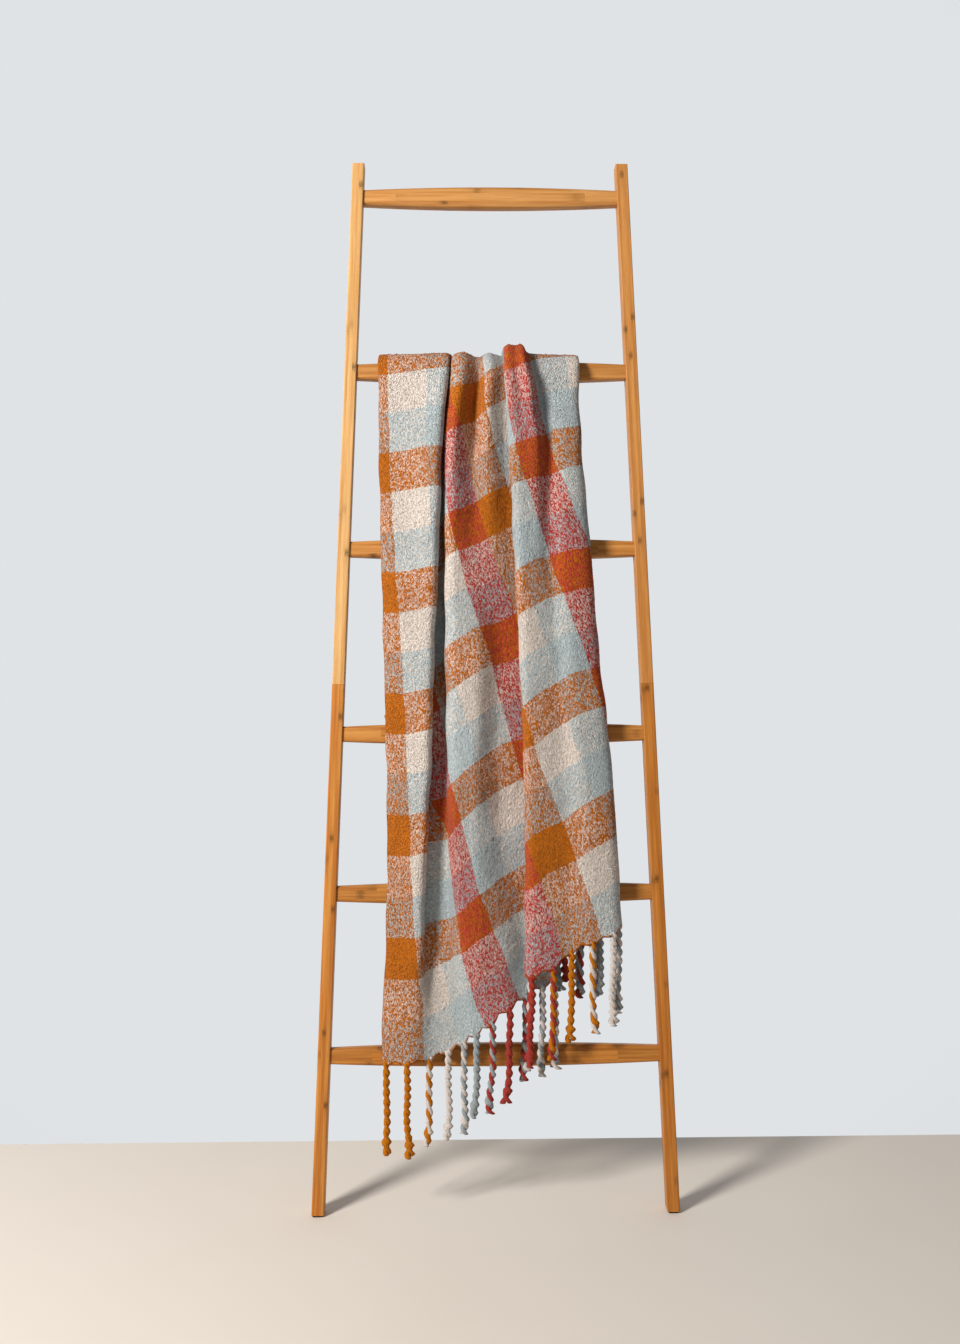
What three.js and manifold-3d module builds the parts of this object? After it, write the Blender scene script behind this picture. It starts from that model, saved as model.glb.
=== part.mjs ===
// A leaning bamboo blanket ladder with a plaid, tasselled throw hung over its second rung from the top.
//
// Millimetres, +Z up, +Y towards the wall that the ladder leans on, +X to the right seen from the front.
// The origin is on the floor, midway between the two feet, and midway between the front of the feet
// and the wall.
//
// The ladder is drawn in a frame of its own, which one group then leans back:
// x runs across it, y is the depth behind the front face of the rails, z runs up the slope.
import * as THREE from "three";
import { mergeVertices } from "three/addons/utils/BufferGeometryUtils.js";
import Module from "manifold-3d";

const wasm = await Module();
wasm.setup();

// ---------- driving dimensions ----------

const LEAN = THREE.MathUtils.degToRad(8.55); // how far the ladder leans back from upright
const GAP = 0.3; // clearance kept between pieces that touch

const RAIL = {
  length: 1720, // along the slope
  width: 20, // across the ladder
  depth: 28, // front to back
  edge: 1.8, // rounding of the long edges
  footSpan: 587, // outside width over the rails at the floor
  topSpan: 461, // outside width over the rails at the top
  joint: 847, // height along the slope where the two halves of a rail meet
};

const RUNG = {
  heights: [250, 508, 766, 1070, 1367, 1664], // up the slope, lowest first
  endHeight: 24.5,
  endDepth: 20,
  endRound: 4.5,
  swellHeight: 12, // how much taller the middle is than the ends
  swellDepth: 4,
  swellRound: 3.5,
  housing: 3, // how far the ends are let into the rails
  stations: 12,
};

const BOLT = {
  shank: 6,
  head: 12,
  headHeight: 3.6,
  chamfer: 0.6,
  sink: 4.5, // depth of the counterbore that takes the head
  length: 46,
  hex: 4,
  hexDepth: 2.4,
};
const STUD = { diameter: 8, length: 60, chamfer: 1 };
const FOOT_PAD = { width: 17, depth: 25, height: 3, round: 3 };
const WALL_PAD = { side: 14, thickness: 2.2, round: 3, flat: 3 }; // flat: depth planed off the rail's corner

// The throw as it hangs: its folded layers are one plain bundle here.
const THROW = {
  rung: 4, // index of the rung that carries it
  // Inside of the fold over the rung: its centre's depth, its half axes, and how square it is.
  saddle: { y: 14, reach: 15.5, rise: 20, power: 0.65 },
  thickFront: 36,
  thickTop: 20,
  thickBack: 25,
  frontHem: [246, 454], // slope height of the front hem at its left and right edges
  backDrop: [500, 720], // drop of the back panel at the left and right edges
  backWidth: [-182, 152],
  frontSteps: 10,
  saddleSteps: 8,
  backSteps: 6,
};
// Left and right edges of the front panel at some heights up the slope.
const HANG = [
  [246, -180, 214],
  [450, -177, 206],
  [580, -174, 197],
  [770, -175, 187],
  [900, -178, 169],
  [1040, -183, 161],
  [1145, -187, 153],
  [1400, -190, 150],
];
// Share of the thickness that the bundle fills from its left edge (0) to its right edge (1): three
// rounded panels with a valley between each two.
const RELIEF = [
  [0, 0.3],
  [0.03, 0.5],
  [0.14, 0.62],
  [0.25, 0.58],
  [0.31, 0.4],
  [0.36, 0.8],
  [0.46, 0.95],
  [0.55, 0.86],
  [0.6, 0.7],
  [0.66, 0.95],
  [0.8, 1],
  [0.94, 0.95],
  [1, 0.75],
];

const TASSEL = { length: 142, shoulder: 22, neck: 3.2, body: 6.5, sides: 8 };
// Where the front tassels hang across the ladder, and how far in front of the rails.
const FRONT_TASSELS = [
  [-172, 14],
  [-144, 17],
  [-106, 17],
  [-71, 18],
  [-46, 26],
  [-21, 30],
  [14, 32],
  [48, 33],
  [71, 33],
  [88, 34],
  [106, 34],
  [124, 34],
  [143, 35],
  [161, 35],
  [180, 33],
  [201, 29],
];
const BACK_TASSELS = { count: 14, from: -170, to: 140, depth: 13 };

const BAMBOO = { color: 0xd9a868, roughness: 0.5, metalness: 0 };
const BAMBOO_DARK = { color: 0xbf8040, roughness: 0.5, metalness: 0 };
const STEEL = { color: 0xb9b9bc, roughness: 0.35, metalness: 1 };
const RUBBER = { color: 0x2b2725, roughness: 0.85, metalness: 0 };
const CLOTH = { color: 0xd9b48c, roughness: 0.95, metalness: 0 };
const YARN = { color: 0xc9803c, roughness: 0.95, metalness: 0 };

const FAR = 3000; // size of the blocks that trim the rails
const SPARE = 40; // how far a cutter runs past the wood
const ROUND_SIDES = 20; // facets of a bolt, a stud and their holes

// ---------- worked out from them ----------

const sinLean = Math.sin(LEAN);
const cosLean = Math.cos(LEAN);
const frontY = FOOT_PAD.height * Math.tan(LEAN); // front corner of the feet
const wallFlatY = RAIL.length * sinLean + RAIL.depth * cosLean - WALL_PAD.flat;
const wallY = wallFlatY + GAP + WALL_PAD.thickness;
const originY = (frontY + wallY) / 2;
const splay = Math.atan((RAIL.footSpan - RAIL.topSpan) / 2 / RAIL.length);
const carryHeight = RUNG.heights[THROW.rung];

const railCentre = (height) =>
  THREE.MathUtils.lerp(RAIL.footSpan, RAIL.topSpan, height / RAIL.length) / 2 - RAIL.width / 2;

// ---------- geometry helpers ----------

function toSolid(geometry, matrix = new THREE.Matrix4()) {
  const bare = new THREE.BufferGeometry();
  bare.setAttribute("position", geometry.getAttribute("position").clone());
  bare.setIndex(geometry.index);
  const merged = mergeVertices(bare.applyMatrix4(matrix), 1e-3);
  return new wasm.Manifold(
    new wasm.Mesh({
      numProp: 3,
      vertProperties: merged.attributes.position.array,
      triVerts: new Uint32Array(merged.index.array),
    }),
  );
}

function toGeometry(solid) {
  const { vertProperties, triVerts } = solid.getMesh();
  const geometry = new THREE.BufferGeometry();
  geometry.setAttribute("position", new THREE.BufferAttribute(vertProperties, 3));
  geometry.setIndex(new THREE.BufferAttribute(triVerts, 1));
  geometry.computeVertexNormals();
  return geometry;
}

const moved = (x, y, z) => new THREE.Matrix4().makeTranslation(x, y, z);

function roundedRectangle(width, depth, radius) {
  const x = width / 2 - radius;
  const y = depth / 2 - radius;
  const quarter = Math.PI / 2;
  return new THREE.Shape()
    .absarc(x, y, radius, 0, quarter)
    .absarc(-x, y, radius, quarter, 2 * quarter)
    .absarc(-x, -y, radius, 2 * quarter, 3 * quarter)
    .absarc(x, -y, radius, 3 * quarter, 4 * quarter);
}

// A bar of rounded-rectangle section that runs along +Z from the origin.
function bar(width, depth, radius, length) {
  return new THREE.ExtrudeGeometry(roundedRectangle(width, depth, radius), {
    depth: length,
    bevelEnabled: false,
    curveSegments: 3,
  });
}

// A round rod along +X between two x positions.
function rodAlongX(diameter, from, to, y, z) {
  const rod = new THREE.CylinderGeometry(diameter / 2, diameter / 2, Math.abs(to - from), ROUND_SIDES);
  rod.rotateZ(Math.PI / 2);
  return toSolid(rod, moved((from + to) / 2, y, z));
}

// A closed solid through rings of points. The flat outline of a ring gives the two end caps.
function loft(rings, outline) {
  const count = outline.length;
  const positions = rings.flat().flatMap((point) => point.toArray());
  const index = [];
  for (let ring = 0; ring < rings.length - 1; ring++) {
    for (let i = 0; i < count; i++) {
      const a = ring * count + i;
      const b = ring * count + ((i + 1) % count);
      index.push(a, b, b + count, a, b + count, a + count);
    }
  }
  const last = (rings.length - 1) * count;
  for (const [a, b, c] of THREE.ShapeUtils.triangulateShape(outline, [])) {
    index.push(c, b, a, last + a, last + b, last + c);
  }
  const geometry = new THREE.BufferGeometry();
  geometry.setAttribute("position", new THREE.Float32BufferAttribute(positions, 3));
  geometry.setIndex(index);
  geometry.computeVertexNormals();
  return geometry;
}

function named(name, geometry, finish) {
  const mesh = new THREE.Mesh(geometry, new THREE.MeshStandardMaterial(finish));
  mesh.name = name;
  return mesh;
}

// Reads a value from rows of [key, value, ...] by straight lines between the rows.
function readTable(rows, key, column) {
  const next = rows.findIndex((row) => row[0] >= key);
  if (next <= 0) return (next === 0 ? rows[0] : rows[rows.length - 1])[column];
  const [low, high] = [rows[next - 1], rows[next]];
  return THREE.MathUtils.mapLinear(key, low[0], high[0], low[column], high[column]);
}

// ---------- the ladder ----------

// The whole rail on one side, with its housings and holes, before it is parted in two.
function railSolid(side) {
  const alongRail = new THREE.Matrix4()
    .makeTranslation(side * railCentre(0), RAIL.depth / 2, 0)
    .multiply(new THREE.Matrix4().makeRotationY(-side * splay))
    .multiply(moved(0, 0, -SPARE));
  let rail = toSolid(bar(RAIL.width, RAIL.depth, RAIL.edge, RAIL.length + 2 * SPARE), alongRail);

  for (const height of RUNG.heights) {
    const inner = railCentre(height) - RAIL.width / 2;
    const outer = railCentre(height) + RAIL.width / 2;
    const y = RAIL.depth / 2;
    const hole = (diameter, from) =>
      rodAlongX(diameter + 2 * GAP, side * from, side * (outer + SPARE), y, height);
    const housing = bar(
      RUNG.endDepth + 2 * GAP,
      RUNG.endHeight + 2 * GAP,
      RUNG.endRound,
      2 * RUNG.housing,
    );
    const across = new THREE.Matrix4()
      .makeTranslation(side * inner, y, height)
      .multiply(new THREE.Matrix4().makeRotationZ(Math.PI / 2))
      .multiply(new THREE.Matrix4().makeRotationX(Math.PI / 2))
      .multiply(moved(0, 0, -RUNG.housing));
    rail = rail
      .subtract(toSolid(housing, across))
      .subtract(hole(BOLT.shank, inner - SPARE))
      .subtract(hole(BOLT.head, outer - BOLT.sink));
  }
  const stud = new THREE.CylinderGeometry(
    STUD.diameter / 2 + GAP,
    STUD.diameter / 2 + GAP,
    STUD.length + 4 * GAP,
    ROUND_SIDES,
  ).rotateX(Math.PI / 2);
  return rail.subtract(toSolid(stud, studPlace(side)));
}

// The joint of a rail: centred on it, with z along the rail.
function studPlace(side) {
  return new THREE.Matrix4()
    .makeTranslation(side * railCentre(RAIL.joint), RAIL.depth / 2, RAIL.joint)
    .multiply(new THREE.Matrix4().makeRotationY(-side * splay));
}

// A block in the ladder's frame, wide enough to cover both rails, between two heights up the slope.
function slab(low, high) {
  return toSolid(new THREE.BoxGeometry(FAR, FAR, high - low), moved(0, 0, (low + high) / 2));
}

// A half-space as a big block, upright in the room but given in the ladder's frame.
function uprightBlock(yLow, yHigh, zLow, zHigh) {
  const block = new THREE.BoxGeometry(FAR, yHigh - yLow, zHigh - zLow);
  block.translate(0, (yLow + yHigh) / 2, (zLow + zHigh) / 2);
  return toSolid(block, new THREE.Matrix4().makeRotationX(LEAN));
}

const belowFeet = uprightBlock(-FAR, FAR, -FAR, FOOT_PAD.height);
const behindWallFlat = uprightBlock(wallFlatY, FAR, 0, FAR);

function railHalf(side, upper) {
  const rail = railSolid(side);
  return upper
    ? rail.intersect(slab(RAIL.joint + GAP / 2, RAIL.length)).subtract(behindWallFlat)
    : rail.intersect(slab(-RAIL.length, RAIL.joint - GAP / 2)).subtract(belowFeet);
}

// A rung swells evenly from its two ends to its middle.
function rungGeometry(height) {
  const half = railCentre(height) - RAIL.width / 2 + RUNG.housing - GAP;
  const section = (x) => {
    const swell = 1 - (x / half) ** 2;
    return roundedRectangle(
      RUNG.endDepth + RUNG.swellDepth * swell,
      RUNG.endHeight + RUNG.swellHeight * swell,
      RUNG.endRound + RUNG.swellRound * swell,
    )
      .getPoints(4)
      .filter((point, i, points) => point.distanceTo(points[(i + 1) % points.length]) > 1e-6);
  };
  const rings = [];
  for (let i = 0; i <= RUNG.stations; i++) {
    const x = THREE.MathUtils.lerp(-half, half, i / RUNG.stations);
    rings.push(section(x).map((point) => new THREE.Vector3(x, point.x, point.y)));
  }
  const depthOfHole = BOLT.length - BOLT.headHeight + GAP;
  const inRung = depthOfHole - (RAIL.width - BOLT.sink);
  const bottomOfHole = half - inRung - RUNG.housing;
  let rung = toSolid(loft(rings, section(half)));
  for (const side of [-1, 1]) {
    rung = rung.subtract(rodAlongX(BOLT.shank + 2 * GAP, side * bottomOfHole, side * (half + SPARE), 0, 0));
  }
  return toGeometry(rung);
}

// A socket-head bolt along +X, with the outside of its head at x = 0.
function boltGeometry() {
  const shank = BOLT.shank / 2;
  const head = BOLT.head / 2;
  const profile = [
    [0, 0],
    [head - BOLT.chamfer, 0],
    [head, BOLT.chamfer],
    [head, BOLT.headHeight],
    [shank, BOLT.headHeight],
    [shank, BOLT.length - shank],
    [1, BOLT.length],
    [0, BOLT.length],
  ].map(([radius, along]) => new THREE.Vector2(radius, along));
  const body = new THREE.LatheGeometry(profile, ROUND_SIDES).rotateZ(-Math.PI / 2);
  const socket = new THREE.CylinderGeometry(
    BOLT.hex / Math.sqrt(3),
    BOLT.hex / Math.sqrt(3),
    2 * BOLT.hexDepth,
    6,
  ).rotateZ(Math.PI / 2);
  return toGeometry(toSolid(body).subtract(toSolid(socket)));
}

function studGeometry() {
  const radius = STUD.diameter / 2;
  const half = STUD.length / 2;
  const profile = [
    [0, -half],
    [radius - STUD.chamfer, -half],
    [radius, -half + STUD.chamfer],
    [radius, half - STUD.chamfer],
    [radius - STUD.chamfer, half],
    [0, half],
  ].map(([r, z]) => new THREE.Vector2(r, z));
  return new THREE.LatheGeometry(profile, ROUND_SIDES).rotateX(Math.PI / 2);
}

function buildLadder(ladder) {
  const bolt = boltGeometry();
  for (const [word, side] of [
    ["left", -1],
    ["right", 1],
  ]) {
    ladder.add(named(`rail_${word}_lower`, toGeometry(railHalf(side, false)), BAMBOO_DARK));
    ladder.add(named(`rail_${word}_upper`, toGeometry(railHalf(side, true)), BAMBOO));
    const stud = named(`rail_stud_${word}`, studGeometry(), STEEL);
    stud.applyMatrix4(studPlace(side));
    ladder.add(stud);
    RUNG.heights.forEach((height, i) => {
      const mesh = named(`rung_bolt_${word}_${i + 1}`, bolt, STEEL);
      const headTop = railCentre(height) + RAIL.width / 2 - BOLT.sink + GAP + BOLT.headHeight;
      mesh.position.set(side * headTop, RAIL.depth / 2, height);
      mesh.rotation.z = side > 0 ? Math.PI : 0;
      ladder.add(mesh);
    });
  }
  RUNG.heights.forEach((height, i) => {
    const rung = named(`rung_${i + 1}`, rungGeometry(height), BAMBOO);
    rung.position.set(0, RAIL.depth / 2, height);
    ladder.add(rung);
  });
}

// Pads under the feet and behind the tops of the rails, upright in the room.
function buildPads(room) {
  for (const [word, side] of [
    ["left", -1],
    ["right", 1],
  ]) {
    const foot = named(
      `foot_pad_${word}`,
      bar(FOOT_PAD.width, FOOT_PAD.depth, FOOT_PAD.round, FOOT_PAD.height - GAP),
      RUBBER,
    );
    foot.position.set(side * railCentre(0), frontY + RAIL.depth / 2 / cosLean, 0);
    room.add(foot);

    const flatHeight = WALL_PAD.flat / Math.tan(LEAN);
    const topBack = RAIL.length * cosLean - RAIL.depth * sinLean;
    const wall = named(
      `wall_pad_${word}`,
      bar(WALL_PAD.side, WALL_PAD.side, WALL_PAD.round, WALL_PAD.thickness),
      RUBBER,
    );
    wall.rotation.x = -Math.PI / 2;
    wall.position.set(side * railCentre(RAIL.length), wallFlatY + GAP, topBack - flatHeight / 2);
    room.add(wall);
  }
}

// ---------- the throw ----------

const hemHeight = (share) => THREE.MathUtils.lerp(...THROW.frontHem, share);

// A point on the inside of the fold over the rung: its front is at angle pi and its back at 0.
function saddlePoint(angle) {
  const { y, reach, rise, power } = THROW.saddle;
  const squared = (value) => Math.sign(value) * Math.abs(value) ** power;
  return [y + reach * squared(Math.cos(angle)), carryHeight + rise * squared(Math.sin(angle))];
}

// Rows of the drape from the front hem, up over the rung and down to the back hem. Each row gives,
// for a share of the width, the inside point of the bundle, its way out and its two edges.
function drapeRows() {
  const { saddle } = THROW;
  const rows = [];
  for (let i = 0; i < THROW.frontSteps; i++) {
    rows.push((share) => {
      const z = THREE.MathUtils.lerp(hemHeight(share), carryHeight, i / THROW.frontSteps);
      return {
        inside: [saddle.y - saddle.reach, z],
        out: [-THROW.thickFront, 0],
        edges: [readTable(HANG, z, 1), readTable(HANG, z, 2)],
      };
    });
  }
  for (let i = 0; i <= THROW.saddleSteps; i++) {
    const turn = i / THROW.saddleSteps;
    const angle = Math.PI * (1 - turn);
    const side = THREE.MathUtils.lerp(THROW.thickFront, THROW.thickBack, turn);
    rows.push(() => ({
      inside: saddlePoint(angle),
      out: [side * Math.cos(angle), THROW.thickTop * Math.sin(angle)],
      edges: [
        THREE.MathUtils.lerp(readTable(HANG, carryHeight, 1), THROW.backWidth[0], turn),
        THREE.MathUtils.lerp(readTable(HANG, carryHeight, 2), THROW.backWidth[1], turn),
      ],
    }));
  }
  for (let i = 1; i <= THROW.backSteps; i++) {
    rows.push((share) => {
      const drop = (THREE.MathUtils.lerp(...THROW.backDrop, share) * i) / THROW.backSteps;
      return {
        inside: [saddle.y + saddle.reach + drop * sinLean, carryHeight - drop * cosLean],
        out: [THROW.thickBack * cosLean, THROW.thickBack * sinLean],
        edges: THROW.backWidth,
      };
    });
  }
  return rows;
}

function throwGeometry() {
  const outline = [
    ...RELIEF.map(([share]) => new THREE.Vector2(share, 0)),
    ...RELIEF.map(([share, depth]) => new THREE.Vector2(share, depth)).reverse(),
  ];
  const backToFront = drapeRows().reverse();
  const rings = backToFront.map((row) =>
    outline.map(({ x: share, y: depth }) => {
      const { inside, out, edges } = row(share);
      return new THREE.Vector3(
        THREE.MathUtils.lerp(edges[0], edges[1], share),
        inside[0] + out[0] * depth,
        inside[1] + out[1] * depth,
      );
    }),
  );
  return loft(rings, outline);
}

// A tassel of twisted yarn: a plain turned body that hangs down from the origin.
function tasselGeometry() {
  const { length, shoulder, neck, body } = TASSEL;
  const profile = [
    [0, -length],
    [body, -length],
    [body, -shoulder],
    [neck, 0],
    [0, 0],
  ].map(([radius, z]) => new THREE.Vector2(radius, z));
  return new THREE.LatheGeometry(profile, TASSEL.sides).rotateX(Math.PI / 2);
}

function buildThrow(ladder) {
  ladder.add(named("throw", throwGeometry(), CLOTH));
  const tassel = tasselGeometry();
  const hang = (name, x, y, z) => {
    const mesh = named(name, tassel, YARN);
    mesh.position.set(x, y, z);
    mesh.rotation.x = LEAN;
    ladder.add(mesh);
  };
  const neckDrop = TASSEL.neck + 2 * GAP;
  const [left, right] = HANG[0].slice(1);
  FRONT_TASSELS.forEach(([x, forward], i) => {
    const z = hemHeight((x - left) / (right - left)) - neckDrop;
    hang(`tassel_front_${String(i + 1).padStart(2, "0")}`, x, -forward, z);
  });
  for (let i = 0; i < BACK_TASSELS.count; i++) {
    const x = THREE.MathUtils.lerp(BACK_TASSELS.from, BACK_TASSELS.to, i / (BACK_TASSELS.count - 1));
    const share = (x - THROW.backWidth[0]) / (THROW.backWidth[1] - THROW.backWidth[0]);
    const drop = THREE.MathUtils.lerp(...THROW.backDrop, share) + neckDrop;
    const y = THROW.saddle.y + THROW.saddle.reach + drop * sinLean + BACK_TASSELS.depth * cosLean;
    const z = carryHeight - drop * cosLean + BACK_TASSELS.depth * sinLean;
    hang(`tassel_back_${String(i + 1).padStart(2, "0")}`, x, y, z);
  }
}

// ---------- assembly ----------

const room = new THREE.Group();
room.position.y = -originY;
const ladder = new THREE.Group();
ladder.rotation.x = -LEAN;
room.add(ladder);
buildLadder(ladder);
buildPads(room);
buildThrow(ladder);

const blanketLadder = new THREE.Group();
blanketLadder.add(room);
export default blanketLadder;
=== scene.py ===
"""Looks of a leaning bamboo blanket ladder with a tasselled plaid throw over its second rung from the top.

The CAD model is the frame: the rails, rungs, bolts, studs and pads keep their shapes and get their
materials here. The throw and its tassels replace the plain CAD bundle. The throw is one woven sheet of
1.3 m by 1.7 m. A place in the cloth is (u, v): u runs across it from the left selvedge, and v runs down
it, 0 near the rung and growing to the front. The cloth's shape is worked out in millimetres in the
ladder's own frame, and turned into metres in the row frame at the end.
"""

import math

import bpy
import numpy as np
from mathutils import Matrix, Vector


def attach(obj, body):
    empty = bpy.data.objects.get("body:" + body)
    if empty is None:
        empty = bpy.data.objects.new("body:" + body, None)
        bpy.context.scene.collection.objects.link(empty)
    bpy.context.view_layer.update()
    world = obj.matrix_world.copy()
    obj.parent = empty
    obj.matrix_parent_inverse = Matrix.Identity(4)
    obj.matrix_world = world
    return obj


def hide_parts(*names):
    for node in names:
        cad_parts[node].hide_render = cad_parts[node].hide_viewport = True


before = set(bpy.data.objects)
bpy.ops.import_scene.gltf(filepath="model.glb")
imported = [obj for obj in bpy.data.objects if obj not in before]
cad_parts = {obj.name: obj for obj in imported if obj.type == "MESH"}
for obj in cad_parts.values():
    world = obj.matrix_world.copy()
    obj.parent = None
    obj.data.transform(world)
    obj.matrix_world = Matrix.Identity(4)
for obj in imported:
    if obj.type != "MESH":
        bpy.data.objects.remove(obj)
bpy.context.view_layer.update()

# ---------- the ladder's frame ----------

LEAN = math.radians(8.55)
LADDER_Y = -0.14168  # where the rails' front faces meet the floor
FOOT_WIDTH, TOP_WIDTH = 587, 461  # over both rails
RAIL_LENGTH, RAIL_WIDTH, RAIL_DEPTH = 1720, 20, 28
SPLAY = math.atan((FOOT_WIDTH - TOP_WIDTH) / 2 / RAIL_LENGTH)
FOOT_X = (FOOT_WIDTH - RAIL_WIDTH) / 2  # from the middle to a rail's centre, at the floor
RUNG_HEIGHTS = (250, 508, 766, 1070, 1367, 1664)
TO_ROW = Matrix.Translation((0, LADDER_Y, 0)) @ Matrix.Rotation(-LEAN, 4, "X")

# ---------- the throw ----------

WIDTH, FRONT, BACK = 1300.0, 1171.0, 529.0  # flat width, and length in front of and behind the rung
CELL = 4.0  # size of the cloth's mesh
THICK = 3.4  # thickness of the cloth
NAP = 0.7  # roughness of the brushed surface
CHECK = 65.0  # width of one stripe of the plaid
REPEAT = 194.0  # three stripes down the length
REPEAT_START = 198.0  # where one of them begins
TASSEL_PITCH = 33.3
TASSEL_LENGTH = 140.0
STRAND, COIL = 3.5, 2.5  # radius of one of a tassel's two strands, and of the helix it follows
STRAND_APART = 34.0  # the two strands are drawn from warps this far apart
STRAND_SIDES, TASSEL_RINGS = 7, 60
TUCK = 7.0  # a tassel starts this far up inside the hem
KNOT_AT, KNOT_SIZE = 0.87, 0.03  # shares of the tassel's length
LOOSE_FROM = 0.9  # from this share of its length on, the strands spread
SIDE_X = 185.0  # tassels further right than this come before the right rail when the throw slides
BEFORE_RAIL, BEFORE_RUNG = 4 * STRAND, 3 * STRAND  # how far in front of the ladder's face tassels lean
LOW_REACH = RUNG_HEIGHTS[0] + 20  # a tassel whose end is lower than this reaches the lowest rung
ROUND = 6.28  # a full turn in radians, or very nearly
CAD_TASSELS = {"front": 16, "back": 14}  # tassels that the CAD model has at each hem
RUNG_Z, RUNG_Y = RUNG_HEIGHTS[4], RAIL_DEPTH / 2  # centre of the rung that the throw hangs on
ARC_RISE, ARC_R, ARC_HALF = 4.5, 15.5, 50.0  # the innermost layer's arc over it: rise, radius, half length
BACK_TURN = math.pi - LEAN  # how far the cloth turns over the rung: its back hangs plumb

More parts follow.
